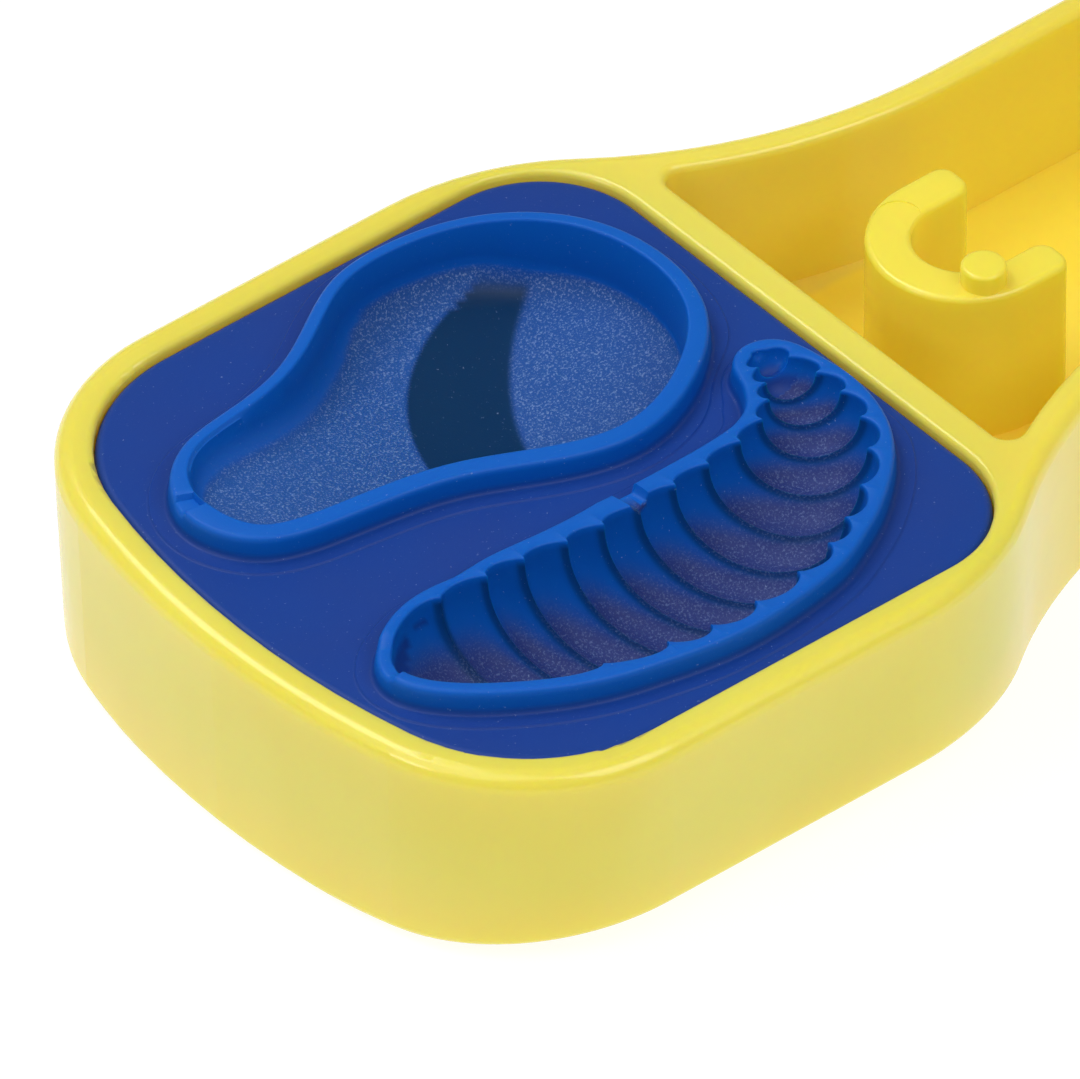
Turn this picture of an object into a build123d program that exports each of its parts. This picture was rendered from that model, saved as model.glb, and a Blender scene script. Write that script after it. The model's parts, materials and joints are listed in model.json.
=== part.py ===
from build123d import *
import os
from math import asin, cos, pi, sin

# Two-arm moulding tongs: a pair of channel-section arms on a sprung rear hinge, each with a soft mould
# insert in the tray at its front end. Millimetres. X runs from the moulds to the hinge, Y across, Z up.
# The origin is on the flat underside of the lower arm, below the middle of its insert. The upper arm is
# drawn closed, as the lower arm's mirror image, and then opened by OPEN_ANGLE, which is the rest pose.

OPEN_ANGLE = 40.0

# Heights, in the closed pose
PARTING_Z = 11.0
RIM_GAP = 0.3
RIM_Z = PARTING_Z - RIM_GAP / 2
INSERT_TOP_Z = RIM_Z - 0.35
TRAY_FLOOR_Z = 3.6
CHANNEL_FLOOR_Z = 2.8

# Outline of the arm, at its rim
WALL = 1.8
CHANNEL_WALL = 1.7
DRAFT = 2.5
HEAD_HALF = 18.7
HANDLE_HALF = 10.3
FRONT_X = -18.85
FRONT_R = 46.85
FRONT_CORNER_R = 10.3
SHOULDER_R = 14.7
SHOULDER_X = 6.7
WAIST_R = 26.5
RIM_FILLET = 0.85
BASE_FILLET = 0.4
TRAY_EDGE_R = 0.3
CHANNEL_EDGE_R = 0.45
CHANNEL_CORNER_R = 0.8

# Underside: a flat strip along the middle, and a wide round on each side of it
FLAT_HALF = 6.0
CROWN_R = 52.0

# Insert, and the channel's cross wall behind it
INSERT_CLEARANCE = 0.05
INSERT_REAR_X = 15.3
INSERT_REAR_R = 5.5
CHANNEL_FRONT_X = 17.2
LIP_HEIGHT = 1.3
LIP_WIDTH = 0.8
NEST_CLEARANCE = 0.45
CAVITY_DEPTH = 3.0
PEG_X = 9.0
PEG_R = 2.0
PEG_HEAD_R = 3.1
PEG_HEAD_HEIGHT = 1.5

# Guide: a U open to the rear on the lower arm, and the upper arm's post that drops into it
GUIDE_X = 25.0
GUIDE_OUTER_R = 4.5
GUIDE_INNER_R = 2.4
GUIDE_ARM = 2.6
GUIDE_TOP_Z = 10.9
GUIDE_EDGE_R = 0.3
GUIDE_CORNER_R = 0.8
EJECTOR_MARK = 0.06
STUD_R = 1.05
STUD_EDGE_R = 0.2
STUD_X = 23.6
STUD_Y = 2.96
POST_HALF = 1.6
POST_REACH = 5.0
POST_EDGE_R = 0.5

# Hinge
HINGE_X = 98.0
BODY_END_X = HINGE_X - 6.0
KNUCKLE_R = 4.5
OUTER_LUG = (7.0, HANDLE_HALF)
INNER_LUG = (3.9, 6.2)
PIN_R = 1.5
PIN_HEAD_R = 2.9
PIN_HEAD_HEIGHT = 1.2
CAP_HEIGHT = 2.2
CAP_ROOF = 0.5
FIXED_FIT = 0.02
RUNNING_FIT = 0.06
WASHER_R = 3.6
WASHER_THICK = 0.7
STOP_X = HINGE_X - 4.4
STOP_TOP_Z = 7.8
TAIL_PLATE_Z = 4.0
TAIL_POCKET_X = 102.0
LANYARD_X = 105.2
LANYARD_R = 1.6

# Spring: its coil turns round a bush on the pin, and each leg presses on one arm's saddle
WIRE_R = 0.5
COIL_R = 3.2
COIL_HALF = 3.1
LEG_LENGTH = 19.0
WHOLE_TURNS = 5
BUSH_R = 2.5
SADDLE_X = 81.5
SADDLE_SIZE = (5.0, 2.6)

# Grip pads, inlaid flush in each arm's outer face
PAD_X = (42.0, 84.0)
PAD_HALF = 5.6
PAD_DEPTH = 1.3
PAD_SETBACK = 0.1
PAD_RIB_PITCH = 2.4
PAD_GROOVE = (0.9, 0.6)
PAD_BORDER = 1.2

# Rings of points round the two cavities, as the outer foot of each lip. Both rings run clockwise.
RING_SENSE = -1
PEAR_LIP = [
    (-14.8, 6.6), (-13.7, 9.1), (-11.8, 10.5), (-8.2, 11.2), (-5.0, 12.0), (-2.0, 13.7), (0.9, 15.2),
    (4.4, 15.7), (8.6, 14.6), (12.2, 11.1), (13.3, 7.0), (12.4, 2.9), (9.0, -0.5), (4.2, -2.1),
    (0.3, -1.1), (-3.6, 0.7), (-9.7, 1.9), (-13.5, 3.3),
]
GRUB_LIP = [
    (-15.2, -8.6), (-14.3, -6.5), (-12.0, -4.7), (-8.7, -4.2), (0.0, -4.2), (7.0, -4.5), (9.5, -3.8),
    (10.3, -1.6), (12.0, -0.2), (13.8, -1.3), (14.7, -4.8), (13.4, -9.4), (10.7, -12.1), (7.0, -14.0),
    (2.8, -15.1), (-2.0, -15.4), (-6.6, -14.4), (-10.8, -12.2), (-14.0, -10.1),
]


def mirrored(shape):
    """The same shape for the arm above the parting plane, still closed."""
    return shape.mirror(Plane.XY.offset(PARTING_Z))


def opened(shape):
    """A piece of the upper body, turned from closed to the rest pose."""
    return shape.rotate(Axis((HINGE_X, 0, PARTING_Z), (0, 1, 0)), OPEN_ANGLE)


def box(x, y, z):
    """A box between pairs of limits."""
    centre = [(low + high) / 2 for low, high in (x, y, z)]
    return Pos(*centre) * Box(x[1] - x[0], y[1] - y[0], z[1] - z[0])


def both_sides(y):
    """A pair of Y limits and its mirror image."""
    return [y, (-y[1], -y[0])]


def cross_rod(x, z, radius, y):
    """A round bar along Y between two limits."""
    return Pos(x, (y[0] + y[1]) / 2, z) * Rot(90, 0, 0) * Cylinder(radius, y[1] - y[0])


def head_front(half, front_x, front_r, corner_r):
    """The bulged front arc and a corner arc, on the +Y side, from the middle to the straight side."""
    centre_x = front_x + front_r
    corner_y = half - corner_r
    reach = front_r - corner_r
    meet_turn = asin(corner_y / reach)
    corner_x = centre_x - reach * cos(meet_turn)
    meet = (centre_x - front_r * cos(meet_turn), front_r * sin(meet_turn))
    middle = (centre_x - front_r * cos(meet_turn / 2), front_r * sin(meet_turn / 2))
    front = ThreePointArc((front_x, 0), middle, meet)
    bend_turn = (meet_turn + pi / 2) / 2
    bend = (corner_x - corner_r * cos(bend_turn), corner_y + corner_r * sin(bend_turn))
    corner = ThreePointArc(meet, bend, (corner_x, half))
    return front, corner, corner_x


def closed_face(half_outline):
    """A face from an outline's +Y half, which starts and ends on the X axis."""
    edges = list(half_outline)
    edges += [edge.mirror(Plane.XZ) for edge in half_outline]
    return make_face(Wire(edges))


def arm_outline(inset, tail_x):
    """The whole arm in plan, moved in by an inset. It ends in a half circle round tail_x."""
    half = HEAD_HALF - inset
    handle = HANDLE_HALF - inset
    front, corner, corner_x = head_front(
        half, FRONT_X + inset, FRONT_R - inset, FRONT_CORNER_R - inset
    )
    shoulder_r = SHOULDER_R - inset
    waist_r = WAIST_R + inset
    turn = 1 - (half - handle) / (shoulder_r + waist_r)
    lean = (1 - turn**2) ** 0.5
    meet = (SHOULDER_X + shoulder_r * lean, half - shoulder_r * (1 - turn))
    waist_x = SHOULDER_X + (shoulder_r + waist_r) * lean
    side = Line((corner_x, half), (SHOULDER_X, half))
    shoulder = TangentArc((SHOULDER_X, half), meet, tangent=(1, 0))
    waist = TangentArc(meet, (waist_x, handle), tangent=(turn, -lean))
    straight = Line((waist_x, handle), (tail_x, handle))
    tail = TangentArc((tail_x, handle), (tail_x + handle, 0), tangent=(1, 0))
    return closed_face([front, corner, side, shoulder, waist, straight, tail])


def insert_outline(clearance):
    """The mould insert in plan, grown by a clearance."""
    half = HEAD_HALF - WALL + clearance
    front, corner, corner_x = head_front(
        half, FRONT_X + WALL + 0.05 - clearance, FRONT_R - WALL + clearance,
        FRONT_CORNER_R - WALL + clearance,
    )
    rear_x = INSERT_REAR_X + clearance
    rear_r = INSERT_REAR_R + clearance
    side = Line((corner_x, half), (rear_x - rear_r, half))
    round_corner = TangentArc((rear_x - rear_r, half), (rear_x, half - rear_r), tangent=(1, 0))
    rear = Line((rear_x, half - rear_r), (rear_x, 0))
    return closed_face([front, corner, side, round_corner, rear])


def raised(face, low, high):
    """A flat face turned into a prism between two heights."""
    return extrude(Pos(0, 0, low) * face, amount=high - low, dir=(0, 0, 1))


def ring_face(points, grow=0.0):
    """The face inside a smooth closed curve through the points, each moved outwards by the same amount."""
    moved = []
    for index, (x, y) in enumerate(points):
        before, after = points[index - 1], points[(index + 1) % len(points)]
        dx, dy = after[0] - before[0], after[1] - before[1]
        size = (dx**2 + dy**2) ** 0.5
        turn = grow * RING_SENSE / size
        moved.append((x + dy * turn, y - dx * turn))
    return make_face(Spline(*moved, periodic=True))


def crown():
    """A long bar whose underside is the arm's: flat in the middle and rising at the sides."""
    reach = 24.0
    rise = CROWN_R - (CROWN_R**2 - (reach - FLAT_HALF) ** 2) ** 0.5
    half_way = FLAT_HALF + (reach - FLAT_HALF) / 2
    bend = CROWN_R - (CROWN_R**2 - (half_way - FLAT_HALF) ** 2) ** 0.5
    top = RIM_Z + 20
    edges = [
        Line((-FLAT_HALF, 0), (FLAT_HALF, 0)),
        ThreePointArc((FLAT_HALF, 0), (half_way, bend), (reach, rise)),
        Line((reach, rise), (reach, top)),
        Line((reach, top), (-reach, top)),
        Line((-reach, top), (-reach, rise)),
        ThreePointArc((-reach, rise), (-half_way, bend), (-FLAT_HALF, 0)),
    ]
    profile = make_face(Wire(edges))
    return extrude(Plane((FRONT_X - 5, 0, 0), (0, 1, 0), (1, 0, 0)) * profile, amount=140)


def rim_edges(shape):
    """The edges that lie at the height of the rim."""
    return [edge for edge in shape.edges() if edge.bounding_box().min.Z > RIM_Z - 0.01]


def base_edges(block, end_x):
    """The edges where the sides meet the underside, in front of end_x."""
    edges = []
    for side in block.faces():
        if abs(side.normal_at(side.center()).Z) < 0.3:
            edges += [edge for edge in side.edges() if edge.bounding_box().max.Z < TRAY_FLOOR_Z]
    return [edge for edge in edges if (edge @ 0.5).X < end_x - 0.5]


def hollowed(body, hollow, radius):
    """The body less a hollow, with the hollow's edge at the rim rounded."""
    body -= hollow
    return fillet([edge for edge in rim_edges(body) if hollow.distance_to(edge @ 0.5) < 0.01], radius)


def arm_shell(tail_x, end_x):
    """The arm's outer shape with a rounded rim and base, and its tray."""
    top = Pos(0, 0, RIM_Z) * arm_outline(0, tail_x)
    block = extrude(top, amount=RIM_Z + 1, dir=(0, 0, -1), taper=DRAFT) & crown()
    if end_x < tail_x:
        block -= box((end_x, tail_x + 20), (-30, 30), (-5, 30))
    rim = [edge for edge in rim_edges(block) if edge.bounding_box().min.X < end_x - 0.5]
    block = fillet(rim, RIM_FILLET)
    block = fillet(base_edges(block, end_x), BASE_FILLET)
    return hollowed(block, raised(insert_outline(INSERT_CLEARANCE), TRAY_FLOOR_Z, RIM_Z + 1), TRAY_EDGE_R)


def channel(end_x):
    """The hollow of the handle, from the cross wall to end_x."""
    hollow = raised(arm_outline(CHANNEL_WALL, HINGE_X + 20), CHANNEL_FLOOR_Z, RIM_Z + 1)
    hollow &= box((CHANNEL_FRONT_X, end_x), (-30, 30), (0, 30))
    front_corners = hollow.edges().filter_by(Axis.Z).group_by(Axis.X)[0]
    return fillet(front_corners, CHANNEL_CORNER_R)


def peg_holes():
    """Stepped holes through the tray floor for the insert's pegs."""
    holes = []
    for x in (-PEG_X, PEG_X):
        holes.append(Pos(x, 0, TRAY_FLOOR_Z / 2) * Cylinder(PEG_R + INSERT_CLEARANCE, TRAY_FLOOR_Z + 2))
        holes.append(Pos(x, 0, 0) * Cylinder(PEG_HEAD_R + INSERT_CLEARANCE, 2 * (PEG_HEAD_HEIGHT + 0.4)))
    return holes


def pad_outline(clearance):
    """The grip pad in plan: a long slot shape."""
    half = PAD_HALF + clearance
    length = PAD_X[1] - PAD_X[0] + 2 * clearance
    return Pos((PAD_X[0] + PAD_X[1]) / 2, 0, 0) * SlotOverall(length, 2 * half)


def lug(y, low, high):
    """A hinge ear: a knuckle joined to a foot on the arm between two heights."""
    foot = box((BODY_END_X - 8, BODY_END_X), y, (low, high))
    knuckle = cross_rod(HINGE_X, PARTING_Z, KNUCKLE_R, y)
    corners = [(BODY_END_X - 1, low), (BODY_END_X - 1, high)]
    web = tangent_web(corners, y)
    return foot + knuckle + web


def tangent_web(corners, y):
    """The web between a foot's two corners and the knuckle circle, touching the circle on both sides."""
    points = []
    for (x, z), side in zip(corners, (1, -1)):
        dx = x - HINGE_X
        dz = z - PARTING_Z
        distance = (dx**2 + dz**2) ** 0.5
        along = KNUCKLE_R**2 / distance
        across = side * KNUCKLE_R * (distance**2 - KNUCKLE_R**2) ** 0.5 / distance
        ux, uz = dx / distance, dz / distance
        points.append((HINGE_X + ux * along - uz * across, PARTING_Z + uz * along + ux * across))
    outline = [corners[0], points[0], points[1], corners[1]]
    face = make_face(Polyline(*[(x, z) for x, z in outline], close=True))
    return extrude(Plane((0, y[0], 0), (1, 0, 0), (0, -1, 0)) * face, amount=-(y[1] - y[0]))


def guide_outline():
    """The U in plan, its arms pointing to the rear and ending in round corners."""
    outer, inner, end, bend = GUIDE_OUTER_R, GUIDE_INNER_R, GUIDE_ARM, GUIDE_CORNER_R
    return closed_face([
        TangentArc((-outer, 0), (0, outer), tangent=(0, 1)),
        Line((0, outer), (end - bend, outer)),
        TangentArc((end - bend, outer), (end, outer - bend), tangent=(1, 0)),
        Line((end, outer - bend), (end, inner + bend)),
        TangentArc((end, inner + bend), (end - bend, inner), tangent=(0, -1)),
        Line((end - bend, inner), (0, inner)),
        TangentArc((0, inner), (-inner, 0), tangent=(-1, 0)),
    ])


def guide():
    """The U-shaped guide with a short stud on one arm and a flush ejector mark on the other."""
    shape = raised(Pos(GUIDE_X, 0) * guide_outline(), CHANNEL_FLOOR_Z - 0.5, GUIDE_TOP_Z)
    shape = fillet(shape.edges().group_by(Axis.Z)[-1], GUIDE_EDGE_R)
    shape -= Pos(STUD_X, STUD_Y, GUIDE_TOP_Z) * Cylinder(STUD_R, 2 * EJECTOR_MARK)
    stud = Pos(STUD_X, -STUD_Y, GUIDE_TOP_Z + 0.25) * Cylinder(STUD_R, 1.5)
    return shape + fillet(stud.edges().group_by(Axis.Z)[-1], STUD_EDGE_R)


def post():
    """The upper arm's guide post, drawn for the closed pose."""
    low = PARTING_Z - POST_REACH
    high = 2 * PARTING_Z - CHANNEL_FLOOR_Z + 0.5
    nose = Circle(POST_HALF) + Pos(1.5, 0) * Rectangle(3, 2 * POST_HALF)
    shape = raised(Pos(GUIDE_X + 0.2, 0) * nose, low, high)
    return fillet(shape.edges().group_by(Axis.Z)[0], POST_EDGE_R)


def saddle(side):
    """A block in the channel with its top at the underside of a spring leg."""
    top = PARTING_Z - COIL_R - WIRE_R
    length, half = SADDLE_SIZE[0], SADDLE_SIZE[1] / 2
    y = side * COIL_HALF
    x = (SADDLE_X - length / 2, SADDLE_X + length / 2)
    return box(x, (y - half, y + half), (CHANNEL_FLOOR_Z - 0.5, top))


def lower_arm():
    """Tray, channel, guide, spring saddle, outer hinge ears, opening stop and tail plate."""
    arm = arm_shell(HINGE_X, HINGE_X + 20)
    arm -= box((BODY_END_X, HINGE_X + 20), (-30, 30), (TAIL_PLATE_Z, 30))
    arm = hollowed(arm, channel(TAIL_POCKET_X), CHANNEL_EDGE_R)
    arm += guide()
    arm += saddle(-1)
    for y in both_sides(OUTER_LUG):
        arm += lug(y, 1.4, 9.0)
    for y in both_sides((INNER_LUG[0] - 0.2, HANDLE_HALF - 1)):
        arm += box((BODY_END_X - 1.5, STOP_X), y, (CHANNEL_FLOOR_Z - 0.5, STOP_TOP_Z))
    arm -= cross_rod(HINGE_X, PARTING_Z, PIN_R + FIXED_FIT, (-20, 20))
    arm -= Pos(LANYARD_X, 0, 0) * Cylinder(LANYARD_R, 20)
    arm -= raised(pad_outline(INSERT_CLEARANCE), -1, PAD_DEPTH)
    for hole in peg_holes():
        arm -= hole
    return arm


def heel():
    """The part of an inner ear that meets the stop, drawn in the rest pose."""
    outline = Polyline(
        (HINGE_X, PARTING_Z), (HINGE_X - 4.35, PARTING_Z - 1), (HINGE_X - 4.35, PARTING_Z - 6.2),
        (HINGE_X - 1.5, PARTING_Z - 6.2), (HINGE_X + 3.6, PARTING_Z - 2), close=True,
    )
    solids = []
    for y in both_sides(INNER_LUG):
        plane = Plane((0, y[0], 0), (1, 0, 0), (0, -1, 0))
        solids.append(extrude(plane * make_face(outline), amount=-(y[1] - y[0])))
    return solids


def upper_arm():
    """The mirror arm with the guide post, inner hinge ears and heels, turned open."""
    arm = arm_shell(HINGE_X, BODY_END_X)
    arm = hollowed(arm, channel(BODY_END_X + 1), CHANNEL_EDGE_R)
    arm += saddle(1)
    for y in both_sides(INNER_LUG):
        arm += lug(y, 0.6, 9.0)
    arm -= raised(pad_outline(INSERT_CLEARANCE), -1, PAD_DEPTH)
    for hole in peg_holes():
        arm -= hole
    arm = mirrored(arm)
    arm += post()
    arm = opened(arm)
    for piece in heel():
        arm += piece
    arm -= cross_rod(HINGE_X, PARTING_Z, PIN_R + RUNNING_FIT, (-20, 20))
    return arm


def insert_block():
    """The insert's slab with its two stepped pegs."""
    block = raised(insert_outline(0), TRAY_FLOOR_Z, INSERT_TOP_Z)
    for x in (-PEG_X, PEG_X):
        block += Pos(x, 0, TRAY_FLOOR_Z / 2 + 0.6) * Cylinder(PEG_R, TRAY_FLOOR_Z - 0.6)
        block += Pos(x, 0, 0.3 + PEG_HEAD_HEIGHT / 2) * Cylinder(PEG_HEAD_R, PEG_HEAD_HEIGHT)
    return block


def cavity(points):
    """What a cavity takes out of the lower insert, open above."""
    return raised(ring_face(points, -LIP_WIDTH), INSERT_TOP_Z - CAVITY_DEPTH, RIM_Z + 3)


def lower_mould():
    """Insert with a raised lip round each cavity."""
    block = insert_block()
    for points in (PEAR_LIP, GRUB_LIP):
        block += raised(ring_face(points), INSERT_TOP_Z - 0.5, INSERT_TOP_Z + LIP_HEIGHT)
    for points in (PEAR_LIP, GRUB_LIP):
        block -= cavity(points)
    return block


def upper_mould():
    """Insert with a shallow nest that the lower lips enter, and the matching cavities."""
    block = insert_block()
    nest_depth = LIP_HEIGHT - 2 * (PARTING_Z - INSERT_TOP_Z) + NEST_CLEARANCE
    for points in (PEAR_LIP, GRUB_LIP):
        block -= raised(ring_face(points, NEST_CLEARANCE), INSERT_TOP_Z - nest_depth, RIM_Z + 3)
    for points in (PEAR_LIP, GRUB_LIP):
        block -= cavity(points)
    return opened(mirrored(block))


def grip_pad():
    """Ribbed pad in the lower arm's underside."""
    pad = raised(pad_outline(0), PAD_SETBACK, PAD_DEPTH)
    width, depth = PAD_GROOVE
    middle = (PAD_X[0] + PAD_X[1]) / 2
    across = (-PAD_HALF + PAD_BORDER, PAD_HALF - PAD_BORDER)
    for step in range(-7, 8):
        x = middle + step * PAD_RIB_PITCH
        pad -= box((x - width / 2, x + width / 2), across, (-1, PAD_SETBACK + depth))
    return pad


def hinge_pin():
    """Headed pin through all four ears."""
    shaft = cross_rod(HINGE_X, PARTING_Z, PIN_R, (-HANDLE_HALF - 0.5, HANDLE_HALF + CAP_HEIGHT - 0.6))
    head = cross_rod(HINGE_X, PARTING_Z, PIN_HEAD_R, (-HANDLE_HALF - PIN_HEAD_HEIGHT, -HANDLE_HALF))
    rim = head.edges().filter_by(GeomType.CIRCLE).sort_by(Axis.Y)[0]
    return shaft + fillet(rim, 0.5)


def pin_cap():
    """Push-on cap that holds the pin's far end."""
    cap = cross_rod(HINGE_X, PARTING_Z, PIN_HEAD_R, (HANDLE_HALF, HANDLE_HALF + CAP_HEIGHT))
    rim = cap.edges().filter_by(GeomType.CIRCLE).sort_by(Axis.Y)[-1]
    cap = fillet(rim, 0.6)
    bore = (HANDLE_HALF - 1, HANDLE_HALF + CAP_HEIGHT - CAP_ROOF)
    return cap - cross_rod(HINGE_X, PARTING_Z, PIN_R + FIXED_FIT, bore)


def ring(radius, bore, y):
    """A plain ring round the hinge axis."""
    hole = cross_rod(HINGE_X, PARTING_Z, bore, (y[0] - 1, y[1] + 1))
    return cross_rod(HINGE_X, PARTING_Z, radius, y) - hole


def torsion_spring():
    """Coil round the bush, with a leg along each arm, in the rest pose."""
    turns = WHOLE_TURNS + (180 - OPEN_ANGLE) / 360
    height = 2 * COIL_HALF
    path = Helix(height / turns, height, COIL_R)
    start = path @ 0
    section = Plane(start, z_dir=path % 0) * Circle(WIRE_R)
    coil = sweep(section, path=path, is_frenet=True)
    # The helix turns from +X about +Z. The turns put its axis on +Y, and its start below the pin.
    coil = Rot(0, 90, 0) * Rot(-90, 0, 0) * Pos(0, 0, -COIL_HALF) * coil
    return Pos(HINGE_X, 0, PARTING_Z) * coil


def legs():
    """The two straight legs, each along its own arm."""
    leg = Rot(0, 90, 0) * Cylinder(WIRE_R, LEG_LENGTH)
    x = HINGE_X - LEG_LENGTH / 2
    return Pos(x, -COIL_HALF, PARTING_Z - COIL_R) * leg, opened(Pos(x, COIL_HALF, PARTING_Z + COIL_R) * leg)


if __name__ == "__main__":
    os.makedirs("parts", exist_ok=True)
    spring = torsion_spring()
    for leg in legs():
        spring += leg
    washer = (INNER_LUG[1] + 0.05, INNER_LUG[1] + 0.05 + WASHER_THICK)
    parts = {
        "lower_arm": lower_arm(),
        "upper_arm": upper_arm(),
        "lower_mould": lower_mould(),
        "upper_mould": upper_mould(),
        "lower_grip_pad": grip_pad(),
        "upper_grip_pad": opened(mirrored(grip_pad())),
        "hinge_pin": hinge_pin(),
        "pin_cap": pin_cap(),
        "spring_bush": ring(BUSH_R, PIN_R + RUNNING_FIT, (-3.8, 3.8)),
        "hinge_washer_left": ring(WASHER_R, PIN_R + RUNNING_FIT, washer),
        "hinge_washer_right": ring(WASHER_R, PIN_R + RUNNING_FIT, (-washer[1], -washer[0])),
        "torsion_spring": spring,
    }
    for name, shape in parts.items():
        export_step(shape, f"parts/{name}.step")
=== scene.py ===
import json
from math import cos, pi, radians, sin, tau

import bmesh
import bpy
import numpy as np
from mathutils import Matrix, Vector
from mathutils.geometry import delaunay_2d_cdt


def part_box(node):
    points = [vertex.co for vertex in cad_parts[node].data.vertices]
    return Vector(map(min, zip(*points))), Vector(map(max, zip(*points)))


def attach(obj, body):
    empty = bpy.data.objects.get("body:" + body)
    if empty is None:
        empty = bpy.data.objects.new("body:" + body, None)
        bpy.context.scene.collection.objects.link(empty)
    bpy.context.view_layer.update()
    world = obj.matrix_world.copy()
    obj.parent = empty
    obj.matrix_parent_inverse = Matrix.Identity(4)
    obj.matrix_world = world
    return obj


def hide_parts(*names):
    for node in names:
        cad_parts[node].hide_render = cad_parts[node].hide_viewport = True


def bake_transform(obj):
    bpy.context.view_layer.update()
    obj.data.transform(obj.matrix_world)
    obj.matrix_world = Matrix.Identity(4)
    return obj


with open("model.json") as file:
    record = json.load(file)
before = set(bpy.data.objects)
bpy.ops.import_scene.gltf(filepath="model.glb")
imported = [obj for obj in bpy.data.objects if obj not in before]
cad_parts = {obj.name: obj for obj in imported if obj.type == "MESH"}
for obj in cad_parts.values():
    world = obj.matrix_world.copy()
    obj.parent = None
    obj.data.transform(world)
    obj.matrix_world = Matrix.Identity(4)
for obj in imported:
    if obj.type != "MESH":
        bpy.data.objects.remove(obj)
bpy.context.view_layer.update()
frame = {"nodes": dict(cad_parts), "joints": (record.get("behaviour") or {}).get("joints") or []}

bl_info = {
    "name": "Moulding tongs",
    "version": (1, 0, 0),
    "blender": (4, 5, 0),
    "location": "3D View > Sidebar > Tongs",
    "description": "Two-arm moulding tongs with soft inserts, built round their packed frame",
    "category": "Add Mesh",
}

MM = 0.001
HINGE = frame["joints"][0]
HINGE_AT = Vector(HINGE["pos_m"])
OPEN_ANGLE = radians(-HINGE["range_deg"][0])
PARTING_Z = HINGE_AT.z / MM

# The insert, in its own millimetres: X and Y as the frame's, Z from the flat between the lips.
LIP = 1.3
FLAT_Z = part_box("lower_mould")[1].z / MM - LIP
SLAB_LOW = 3.6 - FLAT_Z
SLAB = (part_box("lower_mould")[0] / MM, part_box("lower_mould")[1] / MM)
FRONT_R = 45.05
FRONT_CORNER_R = 8.5
REAR_CORNER_R = 5.5
PEG_X = 9.0
PEG_R = 2.0
PEG_HEAD_R = 3.1
PEG_HEAD = (0.3 - FLAT_Z, 1.8 - FLAT_Z)
EDGE_ROUND = 0.4
EDGE_SUPPORT = 0.06
NEST_DEPTH = 0.75
NEST_GAP = 0.35

# The pear's lip at its outer foot, and the curled grub's cavity edge at the crown of each body ring:
# first the blunt head, then the inner side of the curl, the tail's tip and the outer side back again.
PEAR_RING = [
    (-14.8, 6.6), (-13.7, 9.1), (-11.8, 10.5), (-8.2, 11.2), (-5.0, 12.0), (-2.0, 13.7), (0.9, 15.2),
    (4.4, 15.5), (8.6, 14.4), (12.2, 11.1), (13.3, 7.0), (12.4, 2.9), (9.0, -0.5), (4.2, -2.1),
    (0.3, -1.1), (-3.6, 0.7), (-9.7, 1.9), (-13.5, 3.3),
]
GRUB_RING = [
    (-14.1, -8.1), (-11.6, -5.0), (-8.4, -4.75), (-6.4, -4.8), (-4.2, -5.1), (-2.1, -5.35), (-0.2, -5.45),
    (2.0, -5.4), (4.0, -5.3), (6.1, -5.1), (8.0, -4.75), (9.4, -4.1), (10.2, -3.2), (10.7, -2.3),
    (11.1, -1.4), (11.9, -0.95), (13.0, -1.5), (13.5, -3.2), (13.65, -4.9), (13.4, -6.8), (12.6, -8.75),
    (11.0, -10.6), (8.9, -12.2), (7.1, -13.2), (5.2, -14.0), (2.5, -14.5), (-0.2, -14.7), (-2.6, -14.5),
    (-5.0, -14.0), (-9.4, -12.4),
]
GRUB_SEGMENTS = 15
GRUB_LIP_WIDTH = [(0, 0.8), (2, 0.6), (4, 0.9), (6, 1.15), (8, 0.95), (10, 0.65), (12, 0.65), (15, 0.75),
                  (17, 0.65), (20, 0.65), (22, 0.75), (27, 0.75), (29, 0.8), (30, 0.8)]

# The pear's floor: the line its sides run down to, its slope, and the dish sunk into it.
PEAR_SPINE = (np.array([-11.4, 6.2]), np.array([4.6, 6.8]))
PEAR_EDGE_OUT = 0.14
PEAR_SHALLOW = 0.15
PEAR_SLOPE_DROP = 1.75
DISH_EDGE = (np.array([9.5, 1.2]), 12.4)
DISH_EDGE_RUN = 5.2
DISH_RIGHT_X = 12.3
DISH_RIGHT_RUN = 8.2
DISH_DEPTH = 1.9
BETWEEN_HOLLOWS_Y = -2.4
BETWEEN_HOLLOWS_SLOPE = -0.02

# Where the handle's inside begins, in metres: half its width and its start along X, each as a soft step;
# the painted glow inside the channel fills this.
HOLLOW_HALF_WIDTH = (0.0083, 0.0089)
HOLLOW_START = (0.0168, 0.0176)
VIOLET = (0.024, 0.034, 0.165)
SHARP_ANGLE = radians(40)

# The torsion spring in millimetres.
COIL_RADIUS = 3.2
COIL_HALF_LENGTH = 3.1
COIL_LEG = 19.0
COIL_FULL_TURNS = 5

# The stage: each light's name, place, target, size and power, and the camera, in metres and degrees.
HEAD_TARGET = (0.0, 0.0, 0.01)
CHANNEL_TARGET = (0.03, 0.0, 0.01)
LIGHTS = (
    ("overhead", (-0.25, 0.0, 0.6), HEAD_TARGET, 0.5, 1.2),
    ("key", (-0.42, 0.05, 0.30), HEAD_TARGET, 0.12, 0.3),
    ("near_side", (0.10, -0.36, 0.48), CHANNEL_TARGET, 0.35, 1.25),
    ("far_side", (-0.05, 0.3, 0.5), CHANNEL_TARGET, 0.3, 1.2),
)
WORLD_STRENGTH = 0.28
FLOOR_REACH = 1.5
FLOOR_GAP = 0.00002
FLOOR_GLOW = 0.85
CAMERA_AIM = Vector((-2.80, -3.63, FLAT_Z)) * MM
CAMERA_AZIMUTH = -39.9
CAMERA_ELEVATION = 40.2
CAMERA_DISTANCE = 2.132
CAMERA_LENS = 1600.0


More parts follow.
